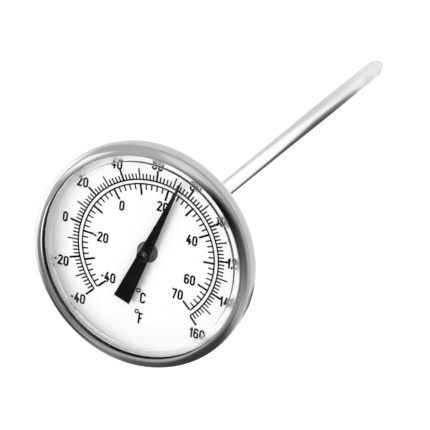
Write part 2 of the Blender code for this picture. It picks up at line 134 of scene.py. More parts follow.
def noise(material, place, stretch, detail):
    """Noise read from a place on the piece, stretched by a scale for each axis."""
    tree = material.node_tree
    mapping = tree.nodes.new("ShaderNodeMapping")
    mapping.inputs["Scale"].default_value = stretch
    tree.links.new(place, mapping.inputs["Vector"])
    texture = tree.nodes.new("ShaderNodeTexNoise")
    texture.inputs["Scale"].default_value = 1.0
    texture.inputs["Detail"].default_value = detail
    tree.links.new(mapping.outputs["Vector"], texture.inputs["Vector"])
    return texture.outputs["Fac"]


def on_piece(material):
    """Object coordinates of the piece."""
    return material.node_tree.nodes.new("ShaderNodeTexCoord").outputs["Object"]


def round_axis(material):
    """Distance from the stem's axis as X and height as Z, so that lines run round the piece."""
    tree = material.node_tree
    split = tree.nodes.new("ShaderNodeSeparateXYZ")
    tree.links.new(on_piece(material), split.inputs["Vector"])
    flat = tree.nodes.new("ShaderNodeCombineXYZ")
    tree.links.new(split.outputs["X"], flat.inputs["X"])
    tree.links.new(split.outputs["Y"], flat.inputs["Y"])
    reach = tree.nodes.new("ShaderNodeVectorMath")
    reach.operation = "LENGTH"
    tree.links.new(flat.outputs["Vector"], reach.inputs[0])
    place = tree.nodes.new("ShaderNodeCombineXYZ")
    tree.links.new(reach.outputs["Value"], place.inputs["X"])
    tree.links.new(split.outputs["Z"], place.inputs["Z"])
    return place.outputs["Vector"]


def grain(material, place, stretch, smoothest, roughest, relief):
    """Tool lines or skin texture: noise drives the roughness and a shallow relief."""
    tree = material.node_tree
    shader = tree.nodes["Principled BSDF"]
    lines = noise(material, place, stretch, 4.0)
    spread = tree.nodes.new("ShaderNodeMapRange")
    spread.inputs["From Min"].default_value = 0.3
    spread.inputs["From Max"].default_value = 0.7
    spread.inputs["To Min"].default_value = smoothest
    spread.inputs["To Max"].default_value = roughest
    tree.links.new(lines, spread.inputs["Value"])
    tree.links.new(spread.outputs["Result"], shader.inputs["Roughness"])
    bump = tree.nodes.new("ShaderNodeBump")
    bump.inputs["Strength"].default_value = 1.0
    bump.inputs["Distance"].default_value = relief
    tree.links.new(lines, bump.inputs["Height"])
    tree.links.new(bump.outputs["Normal"], shader.inputs["Normal"])


def shading(material, colour, second, stretch):
    """Slow variation between two close colours over the piece."""
    tree = material.node_tree
    ramp = tree.nodes.new("ShaderNodeValToRGB")
    ramp.color_ramp.elements[0].position = 0.35
    ramp.color_ramp.elements[1].position = 0.65
    ramp.color_ramp.elements[0].color = (*second, 1.0)
    ramp.color_ramp.elements[1].color = (*colour, 1.0)
    tree.links.new(noise(material, on_piece(material), stretch, 2.0), ramp.inputs["Fac"])
    tree.links.new(ramp.outputs["Color"], tree.nodes["Principled BSDF"].inputs["Base Color"])


def fit(piece, material, body, slot, *nodes):
    """Give a finished piece its material, and put it in the frame for the nodes that it stands for."""
    piece.data.materials.clear()
    piece.data.materials.append(material)
    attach(piece, body)
    if nodes:
        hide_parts(*nodes)


stem_steel = finish("drawn_stem_steel", STEM_GREY, 0.16, 1.0)
shading(stem_steel, STEM_GREY, STEM_SHADE, (900, 900, 60))
grain(stem_steel, on_piece(stem_steel), (26000, 26000, 160), 0.12, 0.22, 0.0000004)
tube_bore = STEM_RADIUS - STEM_WALL
stem = turned("drawn_stem", rounded([
    (tube_bore, tube_high.z, STEM_EDGE), (tube_bore, tube_low.z, 0),
    (STEM_RADIUS, tube_low.z, STEM_EDGE), (STEM_RADIUS, tube_high.z, STEM_EDGE),
]), STEM_STEPS)
fit(stem, stem_steel, "stem", "stem_steel", "stem_tube")


# Pointed tip: a solid stainless plug, turned to a long curve with a small round nose.
# Its spigot is pushed into the tube and the joint is welded and polished to a hairline.
tip_low, tip_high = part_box("stem_tip")
TIP_NOSE_RADIUS = 0.00045
TIP_FIT = 0.00005
TIP_STEPS = 24
tip_base = tube_low.z
nose_centre = tip_low.z + TIP_NOSE_RADIUS
nose_drop = tip_base - nose_centre
side_radius = (STEM_RADIUS ** 2 + nose_drop ** 2 - TIP_NOSE_RADIUS ** 2) / 2 / (STEM_RADIUS - TIP_NOSE_RADIUS)
side_turn = math.atan2(nose_drop, side_radius - STEM_RADIUS)
tip_outline = [(0.0, tip_high.z), (tube_bore - TIP_FIT, tip_high.z), (tube_bore - TIP_FIT, tip_base)]
tip_outline.append((STEM_RADIUS - STEM_EDGE, tip_base))
for step in range(1, TIP_STEPS + 1):
    angle = side_turn * step / TIP_STEPS
    tip_outline.append((STEM_RADIUS - side_radius * (1 - math.cos(angle)), tip_base - side_radius * math.sin(angle)))
for step in range(1, TIP_STEPS):
    angle = side_turn + (math.pi / 2 - side_turn) * step / TIP_STEPS
    tip_outline.append((TIP_NOSE_RADIUS * math.cos(angle), nose_centre - TIP_NOSE_RADIUS * math.sin(angle)))
tip_outline.append((0.0, tip_low.z))
tip_steel = finish("turned_tip_steel", STEM_GREY, 0.18, 1.0)
shading(tip_steel, STEM_GREY, STEM_SHADE, (700, 700, 700))
grain(tip_steel, round_axis(tip_steel), (9000, 1, 9000), 0.14, 0.24, 0.0000005)
fit(turned("pointed_tip", tip_outline, STEM_STEPS), tip_steel, "stem", "stem_steel", "stem_tip")


# Flanged bush: turned brass, pressed on the top of the stem inside the case.
# The nut screws on its sleeve from behind and draws the case against its flange.
bush_low, bush_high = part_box("stem_bush")
BUSH_BORE = 0.0018
BUSH_SLEEVE = 0.0027
BUSH_FLANGE = 0.0010
BUSH_EDGE = 0.00012
BRASS = (0.66, 0.54, 0.30)
BRASS_SHADE = (0.58, 0.45, 0.23)


def turned_brass(name):
    """Bright brass as it comes off a lathe, with fine rings and a little tarnish."""
    material = finish(name, BRASS, 0.3, 1.0)
    shading(material, BRASS, BRASS_SHADE, (600, 600, 600))
    grain(material, round_axis(material), (14000, 1, 14000), 0.22, 0.38, 0.000001)
    return material


bush_shoulder = bush_high.z - BUSH_FLANGE
bush = turned("flanged_bush", rounded([
    (bush_high.x, bush_high.z, BUSH_EDGE), (bush_high.x, bush_shoulder, BUSH_EDGE),
    (BUSH_SLEEVE, bush_shoulder, 0), (BUSH_SLEEVE, bush_low.z, BUSH_EDGE),
    (BUSH_BORE, bush_low.z, 0), (BUSH_BORE, bush_high.z, 0),
]), STEM_STEPS)
fit(bush, turned_brass("bush_brass"), "stem", "brass", "stem_bush")


# Calibration nut: milled from stainless hexagon bar, with both ends chamfered on a lathe.
# It is screwed on the bush, and a wrench holds it while the head is turned to set the reading.
nut_low, nut_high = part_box("hex_nut")
NUT_BORE = 0.00275
NUT_FACE = 0.0039
NUT_CHAMFER = math.radians(30.0)
NUT_MOUTH = 0.00025
NUT_EDGE = 0.00006
NUT_GREY = (0.66, 0.66, 0.67)
NUT_SHADE = (0.60, 0.60, 0.61)
nut_reach = nut_high.x * 1.2
nut_drop = (nut_reach - NUT_FACE) * math.tan(NUT_CHAMFER)
barrel = turned("nut_barrel", [
    (NUT_BORE + NUT_MOUTH, nut_high.z), (NUT_FACE, nut_high.z), (nut_reach, nut_high.z - nut_drop),
    (nut_reach, nut_low.z + nut_drop), (NUT_FACE, nut_low.z), (NUT_BORE + NUT_MOUTH, nut_low.z),
    (NUT_BORE, nut_low.z + NUT_MOUTH), (NUT_BORE, nut_high.z - NUT_MOUTH),
], STEM_STEPS)
bpy.ops.object.select_all(action="DESELECT")
bpy.ops.mesh.primitive_cylinder_add(vertices=6, radius=nut_high.x, depth=nut_high.z - nut_low.z,
                                    location=(0, 0, (nut_high.z + nut_low.z) / 2), rotation=(0, 0, math.pi / 6))
nut = bpy.context.object
nut.name = "calibration_nut"
bpy.ops.object.transform_apply(location=True, rotation=True, scale=True)
turning = nut.modifiers.new("turned_ends", "BOOLEAN")
turning.operation = "INTERSECT"
turning.object = barrel
turning.solver = "EXACT"
bpy.ops.object.modifier_apply(modifier=turning.name)
bpy.data.objects.remove(barrel, do_unlink=True)
broken_edges = nut.modifiers.new("broken_edges", "BEVEL")
broken_edges.width = NUT_EDGE
broken_edges.segments = 2
broken_edges.limit_method = "ANGLE"
broken_edges.angle_limit = SMOOTH_ANGLE
bpy.ops.object.modifier_apply(modifier=broken_edges.name)
bpy.ops.object.shade_smooth_by_angle(angle=SMOOTH_ANGLE)
nut_steel = finish("milled_nut_steel", NUT_GREY, 0.28, 1.0)
shading(nut_steel, NUT_GREY, NUT_SHADE, (500, 500, 500))
grain(nut_steel, on_piece(nut_steel), (2500, 2500, 16000), 0.22, 0.36, 0.000001)
fit(nut, nut_steel, "stem", "nut_steel", "hex_nut")


# Back seal: a flat washer punched from dark pressed fibre.
# It is squeezed between the nut and the boss of the case, and keeps water out of the head.
seal_low, seal_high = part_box("back_seal")
SEAL_BORE = 0.0028
SEAL_EDGE = 0.0001
FIBRE = (0.16, 0.15, 0.14)
FIBRE_SHADE = (0.11, 0.10, 0.09)
seal = turned("fibre_seal", rounded([
    (seal_high.x, seal_high.z, SEAL_EDGE), (seal_high.x, seal_low.z, SEAL_EDGE),
    (SEAL_BORE, seal_low.z, SEAL_EDGE), (SEAL_BORE, seal_high.z, SEAL_EDGE),
]), STEM_STEPS)
fibre = finish("pressed_fibre", FIBRE, 0.85, 0.0)
shading(fibre, FIBRE, FIBRE_SHADE, (4000, 4000, 9000))
grain(fibre, on_piece(fibre), (7000, 7000, 14000), 0.75, 0.95, 0.00001)
fit(seal, fibre, "stem", "seal_fibre", "back_seal")


# Wave washer: punched from spring sheet and pressed into three waves.
# It loads the case floor against the bush, so that the head turns stiffly and stays where it is set.
washer_low, washer_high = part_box("wave_washer")
WASHER_BORE = 0.0028
WASHER_SHEET = 0.0003
WASHER_WAVES = 3
SPRING_GREY = (0.58, 0.58, 0.59)
SPRING_SHADE = (0.50, 0.50, 0.51)


def spring_steel(name):
    """Cold rolled steel with a plain grey skin."""
    material = finish(name, SPRING_GREY, 0.3, 1.0)
    shading(material, SPRING_GREY, SPRING_SHADE, (800, 800, 800))
    grain(material, round_axis(material), (12000, 1, 12000), 0.24, 0.36, 0.0000008)
    return material


washer = turned("wave_spring", [
    (washer_high.x, WASHER_SHEET), (washer_high.x, 0.0), (WASHER_BORE, 0.0), (WASHER_BORE, WASHER_SHEET),
], STEM_STEPS)
wave_height = washer_high.z - washer_low.z - WASHER_SHEET
for point in washer.data.vertices:
    turn = math.atan2(point.co.y, point.co.x)
    point.co.z += washer_low.z + wave_height * (1 + math.cos(WASHER_WAVES * turn)) / 2
fit(washer, spring_steel("wave_spring_steel"), "stem", "spring_steel", "wave_washer")


# Spindle guides: two small brass bushes that keep the spindle in the middle of the tube.
# The lower one is pressed into the bore, and the upper one hangs in the tube's top by its flange.
GUIDE_BORE = 0.00045
GUIDE_FLANGE = 0.0004
GUIDE_EDGE = 0.00006
lower_low, lower_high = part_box("lower_guide")
upper_low, upper_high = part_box("upper_guide")
lower_guide = turned("lower_spindle_guide", rounded([
    (lower_high.x, lower_high.z, GUIDE_EDGE), (lower_high.x, lower_low.z, GUIDE_EDGE),
    (GUIDE_BORE, lower_low.z, GUIDE_EDGE), (GUIDE_BORE, lower_high.z, GUIDE_EDGE),
]), STEM_STEPS)
fit(lower_guide, turned_brass("lower_guide_brass"), "stem", "brass", "lower_guide")
upper_shoulder = upper_high.z - GUIDE_FLANGE
upper_guide = turned("upper_spindle_guide", rounded([
    (upper_high.x, upper_high.z, GUIDE_EDGE), (upper_high.x, upper_shoulder, GUIDE_EDGE),
    (lower_high.x, upper_shoulder, 0), (lower_high.x, upper_low.z, GUIDE_EDGE),
    (GUIDE_BORE, upper_low.z, GUIDE_EDGE), (GUIDE_BORE, upper_high.z, GUIDE_EDGE),
]), STEM_STEPS)
fit(upper_guide, turned_brass("upper_guide_brass"), "stem", "brass", "upper_guide")


# Bimetal coil: a rolled strip of two metals wound into a helix that fits the lower stem.
# Its foot is fixed to the tip's spigot, and its top turns the spindle as it warms and cools.
coil_low, coil_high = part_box("bimetal_coil")
COIL_TURNS = 20
COIL_STRIP_WIDTH = 0.0010
COIL_STRIP_THICKNESS = 0.00022
COIL_STEPS = 48
BIMETAL = (0.58, 0.52, 0.44)
BIMETAL_SHADE = (0.50, 0.46, 0.42)
coil_pitch = (coil_high.z - coil_low.z - COIL_STRIP_WIDTH) / COIL_TURNS
coil = open_mesh("bimetal_helix")
bpy.ops.transform.translate(value=(coil_high.x, 0, coil_low.z))
for step in ((0, 0, COIL_STRIP_WIDTH), (-COIL_STRIP_THICKNESS, 0, 0), (0, 0, -COIL_STRIP_WIDTH),
             (COIL_STRIP_THICKNESS, 0, 0)):
    bpy.ops.mesh.extrude_region_move(TRANSFORM_OT_translate={"value": step})
bpy.ops.mesh.select_all(action="SELECT")
bpy.ops.mesh.remove_doubles(threshold=MERGE_DISTANCE)
bpy.ops.object.mode_set(mode="OBJECT")
winding = coil.modifiers.new("winding", "SCREW")
winding.screw_offset = coil_pitch
winding.iterations = COIL_TURNS
winding.steps = COIL_STEPS
winding.render_steps = COIL_STEPS
bpy.ops.object.modifier_apply(modifier=winding.name)
bpy.ops.object.mode_set(mode="EDIT")
bpy.ops.mesh.select_all(action="DESELECT")
bpy.ops.mesh.select_non_manifold()
bpy.ops.mesh.fill_holes(sides=4)
close_mesh()
bimetal = finish("bimetal_strip", BIMETAL, 0.36, 1.0)
shading(bimetal, BIMETAL, BIMETAL_SHADE, (900, 900, 500))
grain(bimetal, round_axis(bimetal), (8000, 1, 16000), 0.30, 0.44, 0.0000008)
fit(coil, bimetal, "stem", "bimetal", "bimetal_coil")


# Spindle: a straight steel wire from the coil up to the pointer.
# A brass collar at its foot takes the coil's end, and a thrust collar rides on the upper guide.
spindle_low, spindle_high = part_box("spindle")
SPINDLE_EDGE = 0.00008
COLLAR_EDGE = 0.00008
spindle_outline = rounded([
    (0.0, spindle_high.z, 0), (spindle_high.x, spindle_high.z, SPINDLE_EDGE),
    (spindle_high.x, spindle_low.z, SPINDLE_EDGE), (0.0, spindle_low.z, 0),
], closed=False)
spindle = turned("spindle_wire", spindle_outline, STEM_STEPS)
fit(spindle, spring_steel("spindle_steel"), "pointer", "spring_steel", "spindle")
for node, name in (("coil_collar", "coil_end_collar"), ("thrust_collar", "thrust_ring")):
    collar_low, collar_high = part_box(node)
    collar = turned(name, rounded([
        (collar_high.x, collar_high.z, COLLAR_EDGE), (collar_high.x, collar_low.z, COLLAR_EDGE),
        (GUIDE_BORE, collar_low.z, 0), (GUIDE_BORE, collar_high.z, 0),
    ]), STEM_STEPS)
    fit(collar, turned_brass(name + "_brass"), "pointer", "brass", node)


# Case: a cup drawn from stainless sheet, with a well for the bush, a ledge for the dial and a flange.
# Its back is left satin, with the faint rings of the drawing tool.
case_low, case_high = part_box("case_cup")
HEAD_STEPS = 256
CASE_SHEET = 0.00045
CASE_HOLE = 0.00275
CASE_WELL_DEPTH = 0.0004
CASE_WELL_RADIUS = 0.0049
CASE_WELL_DRAFT = 0.0002
CASE_CORNER = 0.0052
CASE_BODY = 0.02035
CASE_WALL = 0.02115
CASE_LEDGE_DROP = 0.00137
CASE_BEND = 0.0003
CASE_GREY = (0.70, 0.70, 0.71)
CASE_SHADE = (0.64, 0.64, 0.65)
case_floor = case_low.z + CASE_WELL_DEPTH
flange_low = case_high.z - CASE_SHEET
ledge_high = case_high.z - CASE_LEDGE_DROP
ledge_low = ledge_high - CASE_SHEET
case = turned("drawn_case", rounded([
    (case_high.x, case_high.z, 0), (case_high.x, flange_low, CASE_BEND),
    (CASE_WALL, flange_low, CASE_BEND), (CASE_WALL, ledge_low, CASE_BEND),
    (CASE_BODY, ledge_low, CASE_BEND / 3), (CASE_BODY, case_floor, CASE_CORNER),
    (CASE_WELL_RADIUS + CASE_SHEET, case_floor, CASE_BEND / 3),
    (CASE_WELL_RADIUS + CASE_SHEET - CASE_WELL_DRAFT, case_low.z, CASE_BEND / 3),
    (CASE_HOLE, case_low.z, 0), (CASE_HOLE, case_low.z + CASE_SHEET, 0),
    (CASE_WELL_RADIUS - CASE_WELL_DRAFT, case_low.z + CASE_SHEET, CASE_BEND / 3),
    (CASE_WELL_RADIUS, case_floor + CASE_SHEET, CASE_BEND / 3),
    (CASE_BODY - CASE_SHEET, case_floor + CASE_SHEET, CASE_CORNER - CASE_SHEET),
    (CASE_BODY - CASE_SHEET, ledge_high, CASE_BEND / 3), (CASE_WALL - CASE_SHEET, ledge_high, 0),
    (CASE_WALL - CASE_SHEET, case_high.z, CASE_BEND / 3),
]), HEAD_STEPS)
case_steel = finish("satin_case_steel", CASE_GREY, 0.24, 1.0)
shading(case_steel, CASE_GREY, CASE_SHADE, (160, 160, 160))
grain(case_steel, round_axis(case_steel), (7000, 1, 7000), 0.20, 0.32, 0.0000008)
fit(case, case_steel, "head", "case_steel", "case_cup")


# Dial: a thin metal disc with matte white enamel on its face and a hole for the pointer's hub.
# It lies loose on the ledge of the case, and the spacer and lens keep it down.
dial_low, dial_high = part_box("dial_plate")
DIAL_HOLE = 0.0021
DIAL_EDGE = 0.00006
ENAMEL = (0.90, 0.90, 0.89)
ENAMEL_SHADE = (0.88, 0.88, 0.87)
dial = turned("enamelled_dial", rounded([
    (dial_high.x, dial_high.z, DIAL_EDGE), (dial_high.x, dial_low.z, 0),
    (DIAL_HOLE, dial_low.z, 0), (DIAL_HOLE, dial_high.z, DIAL_EDGE),
]), HEAD_STEPS)
enamel = finish("white_enamel", ENAMEL, 0.5, 0.0)
shading(enamel, ENAMEL, ENAMEL_SHADE, (350, 350, 350))
grain(enamel, on_piece(enamel), (3000, 3000, 3000), 0.42, 0.58, 0.000001)
fit(dial, enamel, "head", "dial_white", "dial_plate")


# Printed scale: two arcs of black ink, Fahrenheit marks outwards and Celsius marks inwards.
# It is screen printed on the enamel, so it stands a hair above it and turns with the head.
INK_HEIGHT = 0.00002
INK_BLACK = (0.003, 0.003, 0.003)
INK_SHADE = (0.006, 0.006, 0.006)
TURN_PER_F = math.radians(1.3635)
MIDDLE_F = 60.0
PRINT_MIDDLE = Vector((0.00017, 0.000105))
F_ARC_RADIUS = 0.01449
C_ARC_RADIUS = 0.01363
ARC_WIDTH = 0.00031
MARK_WIDTH = 0.00030
BOLD_MARK_WIDTH = 0.00042
F_MARK_LENGTH = 0.00102
F_LONG_LENGTH = 0.00209
C_MARK_LENGTH = 0.0010
C_LONG_LENGTH = 0.0021
F_RANGE = (-40, 160)
C_RANGE = (-40, 70)
ARC_STEPS = 200
DIGIT_HEIGHT = 0.0021
DIGIT_WIDTH = 0.00108
DIGIT_GAP = 0.00014
DIGIT_PEN = 0.00038
BEND_STEPS = 14


def dial_angle(fahrenheit):
    """Direction of a reading on the dial, anticlockwise from +X, with the middle reading straight up."""
    return math.pi / 2 - (fahrenheit - MIDDLE_F) * TURN_PER_F


def to_fahrenheit(celsius):
    """The same temperature on the other scale."""
    return celsius * 1.8 + 32.0


def select_last(count):
    """In the mesh being edited, select only the newest points."""
    form = bmesh.from_edit_mesh(bpy.context.object.data)
    form.verts.ensure_lookup_table()
    bpy.ops.mesh.select_all(action="DESELECT")
    for point in form.verts[-count:]:
        point.select_set(True)
    form.select_flush(True)
    bmesh.update_edit_mesh(bpy.context.object.data)


def ink_stroke(start, heading, moves, pen):
    """One stroke of ink: an edge as wide as the pen, pushed along straight runs and swung round bends."""
    ahead = Vector((math.cos(heading), math.sin(heading)))
    side = Vector((-ahead.y, ahead.x))
    place = Vector(start)
    bpy.ops.mesh.select_all(action="DESELECT")
    bpy.ops.mesh.primitive_plane_add(size=pen, location=(place.x, place.y, dial_high.z), rotation=(0, 0, heading))
    form = bmesh.from_edit_mesh(bpy.context.object.data)
    for point in form.verts:
        if point.select and (point.co.xy - place).dot(ahead) > 0:
            point.co.xy -= ahead * pen / 2
            point.select_set(False)
    form.select_flush(False)
    bmesh.update_edit_mesh(bpy.context.object.data)
    bpy.ops.mesh.delete(type="VERT")
    select_last(2)
    for kind, *sizes in moves:
        if kind == "run":
            push = ahead * sizes[0]
            place += push
            bpy.ops.mesh.extrude_region_move(TRANSFORM_OT_translate={"value": (push.x, push.y, 0)})
            continue
        radius, turn = sizes[0], math.radians(sizes[1])
        centre = place + side * math.copysign(radius, turn)
        steps = max(2, round(abs(turn) / math.pi * BEND_STEPS))
        if radius > DIGIT_HEIGHT:
            steps = ARC_STEPS
        bpy.ops.mesh.spin(steps=steps, angle=-turn, center=(centre.x, centre.y, dial_high.z), axis=(0, 0, 1))
        ahead = Vector((ahead.x * math.cos(turn) - ahead.y * math.sin(turn),
                        ahead.x * math.sin(turn) + ahead.y * math.cos(turn)))
        side = Vector((-ahead.y, ahead.x))
        place = centre - side * math.copysign(radius, turn)


def bar(start, end):
    """A straight stroke between two points of a letter."""
    run = Vector(end) - Vector(start)
    return start, math.degrees(math.atan2(run.y, run.x)), [("run", run.length)]


def digit_strokes():
    """The strokes of each digit and sign about its own middle, in narrow upright letters."""
    w = (DIGIT_WIDTH - DIGIT_PEN) / 2
    h = (DIGIT_HEIGHT - DIGIT_PEN) / 2
    nib = DIGIT_PEN / 2
    tall = 2 * (h - w)
    bowl = 0.33 * h
    head = 0.9 * w
    lean = math.degrees(math.atan2(w, 2 * h - w))
    cross = -0.42 * h
    return {
        "0": [((w, w - h), 90, [("run", tall), ("bend", w, 180), ("run", tall), ("bend", w, 180)])],
        "1": [bar((0.5 * w, -h - nib), (0.5 * w, h + nib)), bar((0.5 * w, h - nib), (-0.6 * w, 0.55 * h))],
        "2": [((-w, h - w), 90, [("bend", w, -180 - 2 * lean), ("run", 2 * h - w)]),
              bar((-w - nib, -h), (w + nib, -h))],
        "4": [bar((0.3 * w, h + nib), (-w, cross)), bar((-w - nib, cross), (w + nib, cross)),
              bar((0.45 * w, 0.25 * h), (0.45 * w, -h - nib))],
        "6": [((w, h - w), 90, [("bend", w, 180), ("run", tall), ("bend", w, 180), ("run", bowl), ("bend", w, 180)])],
        "7": [bar((-w - nib, h), (w + nib, h)), bar((w, h), (-0.35 * w, -h - nib))],
        "8": [((w, w - h), 90, [("run", bowl), ("bend", w, 180), ("run", bowl), ("bend", w, 180)]),
              ((head, h - head - 0.26 * h), 90, [("run", 0.26 * h), ("bend", head, 180), ("run", 0.26 * h),
                                                ("bend", head, 180)])],
        "-": [bar((-0.75 * w, 0), (0.75 * w, 0))],
    }


def print_label(text, middle):
    """Print a number with its middle at a point of the dial."""
    widths = {"-": 0.6 * DIGIT_WIDTH, "1": 0.75 * DIGIT_WIDTH}
    sizes = [widths.get(sign, DIGIT_WIDTH) for sign in text]
    along = middle[0] - (sum(sizes) + DIGIT_GAP * (len(text) - 1)) / 2
    for sign, size in zip(text, sizes):
        for (x, y), heading, moves in DIGITS[sign]:
            ink_stroke((along + size / 2 + x, middle[1] + y), math.radians(heading), moves, DIGIT_PEN)
        along += size + DIGIT_GAP


def marks(reading_turns, inner, outer, width, repeats, repeat_turn):
    """Radial marks at some turns clockwise from straight up, repeated round the dial."""
    for turn in reading_turns:
        for repeat in range(repeats):
            angle = math.pi / 2 - turn - repeat * repeat_turn
            start = PRINT_MIDDLE + inner * Vector((math.cos(angle), math.sin(angle)))
            ink_stroke(start, angle, [("run", outer - inner)], width)


DIGITS = digit_strokes()
scale_print = open_mesh("dial_print")
bpy.ops.mesh.delete(type="VERT")
for arc_radius, low, high in ((F_ARC_RADIUS, F_RANGE[0], F_RANGE[1]),
                              (C_ARC_RADIUS, to_fahrenheit(C_RANGE[0]), to_fahrenheit(C_RANGE[1]))):
    first = dial_angle(low)
    sweep = math.degrees(dial_angle(high) - first)
    ink_stroke(PRINT_MIDDLE + arc_radius * Vector((math.cos(first), math.sin(first))), first - math.pi / 2,
               [("bend", arc_radius, sweep)], ARC_WIDTH)
f_inner = F_ARC_RADIUS + ARC_WIDTH / 2
c_outer = C_ARC_RADIUS - ARC_WIDTH / 2
f_start = (F_RANGE[0] - MIDDLE_F) * TURN_PER_F
c_start = (to_fahrenheit(C_RANGE[0]) - MIDDLE_F) * TURN_PER_F
f_step = 2 * TURN_PER_F
c_step = 2 * 1.8 * TURN_PER_F
f_tens = (F_RANGE[1] - F_RANGE[0]) // 10
c_tens = (C_RANGE[1] - C_RANGE[0]) // 10
marks([f_start + f_step * k for k in (1, 2, 3, 4)], f_inner, f_inner + F_MARK_LENGTH, MARK_WIDTH, f_tens, 5 * f_step)
marks([f_start + 5 * f_step], f_inner, f_inner + F_LONG_LENGTH, MARK_WIDTH, f_tens // 2, 10 * f_step)
marks([f_start], f_inner, f_inner + F_LONG_LENGTH, BOLD_MARK_WIDTH, f_tens // 2 + 1, 10 * f_step)
marks([c_start + c_step * k for k in (1, 2, 3, 4)], c_outer - C_MARK_LENGTH, c_outer, MARK_WIDTH, c_tens, 5 * c_step)
marks([c_start], c_outer - C_LONG_LENGTH, c_outer, BOLD_MARK_WIDTH, c_tens + 1, 5 * c_step)
F_LABEL_PLACES = {"-40": (-0.01295, -0.0132), "-20": (-0.01725, -0.0064), "0": (-0.01745, 0.0026),
                  "20": (-0.01475, 0.01055), "40": (-0.0083, 0.0160), "60": (-0.00005, 0.0179),
                  "80": (0.00805, 0.01575), "100": (0.0145, 0.0102), "120": (0.0178, 0.00235),
                  "140": (0.01725, -0.0057), "160": (0.0120, -0.01365)}
C_LABEL_PLACES = {"-40": (-0.0073, -0.00725), "-20": (-0.0097, 0.00045), "0": (-0.00625, 0.0079),
                  "20": (0.00195, 0.0099), "40": (0.00865, 0.00485), "60": (0.0092, -0.00315),
                  "70": (0.0071, -0.00675)}
for places in (F_LABEL_PLACES, C_LABEL_PLACES):
    for text, middle in places.items():
        print_label(text, middle)
UNIT_HEIGHT = 0.0023
UNIT_WIDTH = 0.00115
DEGREE_RADIUS = 0.00036
DEGREE_PEN = 0.00026
DEGREE_PLACES = ((-0.0008, -0.00815), (-0.00065, -0.0125))
C_PLACE = (0.00025, -0.0095)
F_PLACE = (0.00025, -0.01375)
unit_w = (UNIT_WIDTH - DIGIT_PEN) / 2
unit_h = (UNIT_HEIGHT - DIGIT_PEN) / 2
c_end = 0.35 * unit_w
c_moves = [("run", c_end), ("bend", unit_w, 180), ("run", 2 * (unit_h - unit_w)), ("bend", unit_w, 180), ("run", c_end)]
ink_stroke((C_PLACE[0] + unit_w, C_PLACE[1] + unit_h - unit_w - c_end), math.pi / 2, c_moves, DIGIT_PEN)
f_stem = F_PLACE[0] - 0.7 * unit_w
f_top = F_PLACE[1] + unit_h
for start, end in (((f_stem, f_top + DIGIT_PEN / 2), (f_stem, F_PLACE[1] - unit_h - DIGIT_PEN / 2)),
                   ((f_stem, f_top), (F_PLACE[0] + unit_w, f_top)),
                   ((f_stem, F_PLACE[1]), (F_PLACE[0] + 0.8 * unit_w, F_PLACE[1]))):
    (x, y), heading, moves = bar(start, end)
    ink_stroke((x, y), math.radians(heading), moves, DIGIT_PEN)
for x, y in DEGREE_PLACES:
    ink_stroke((x + DEGREE_RADIUS, y), math.pi / 2, [("bend", DEGREE_RADIUS, 360)], DEGREE_PEN)
bpy.ops.mesh.select_all(action="SELECT")
bpy.ops.mesh.remove_doubles(threshold=MERGE_DISTANCE)
bpy.ops.mesh.extrude_region_move(TRANSFORM_OT_translate={"value": (0, 0, INK_HEIGHT)})
close_mesh()
ink = finish("black_ink", INK_BLACK, 0.55, 0.0)
ink.node_tree.nodes["Principled BSDF"].inputs["Specular IOR Level"].default_value = 0.05
shading(ink, INK_BLACK, INK_SHADE, (5000, 5000, 5000))
grain(ink, on_piece(ink), (16000, 16000, 16000), 0.45, 0.65, 0.0000008)
fit(scale_print, ink, "head", "pointer_black")


# Hub: a turned steel disc level with the dial, with a boss that carries the pointer.
# It is pressed on the spindle, and its face keeps the rings of the lathe tool.
hub_low, hub_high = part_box("pointer_hub")
HUB_BORE = 0.00045
HUB_BOSS = 0.00095
HUB_DISC = 0.0004
HUB_EDGE = 0.0001
hub = turned("turned_hub", rounded([
    (HUB_BOSS, hub_high.z, HUB_EDGE), (HUB_BOSS, hub_low.z + HUB_DISC, HUB_EDGE),
    (hub_high.x, hub_low.z + HUB_DISC, HUB_EDGE), (hub_high.x, hub_low.z, HUB_EDGE),
    (HUB_BORE, hub_low.z, 0), (HUB_BORE, hub_high.z, 0),
]), STEM_STEPS)
hub_steel = spring_steel("hub_steel")
grain(hub_steel, round_axis(hub_steel), (12000, 1, 12000), 0.42, 0.54, 0.0000008)
fit(hub, hub_steel, "pointer", "spring_steel", "pointer_hub")


# Pointer: stamped from thin sheet, a long taper from a broad tail to a narrow tip, in satin black paint.
# Its hole is pressed over the end of the spindle, and it turns clear of the dial and the lens.
blade_low, blade_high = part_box("pointer_blade")
POINTER_READING_F = 73.8
POINTER_REACH = 0.0174
POINTER_TAIL = 0.0110
POINTER_TIP_WIDTH = 0.0002
POINTER_TAIL_WIDTH = 0.0035
POINTER_EDGE = 0.00005
PAINT_BLACK = (0.003, 0.003, 0.003)
PAINT_SHADE = (0.006, 0.006, 0.006)
blade_thickness = blade_high.z - blade_low.z
pointer_turn = -(POINTER_READING_F - MIDDLE_F) * TURN_PER_F
bpy.ops.object.select_all(action="DESELECT")
bpy.ops.mesh.primitive_plane_add(size=POINTER_TAIL_WIDTH, location=(0, 0, blade_low.z))
pointer = bpy.context.object
pointer.name = "black_pointer"
bpy.ops.object.transform_apply(location=True)
bpy.ops.object.mode_set(mode="EDIT")
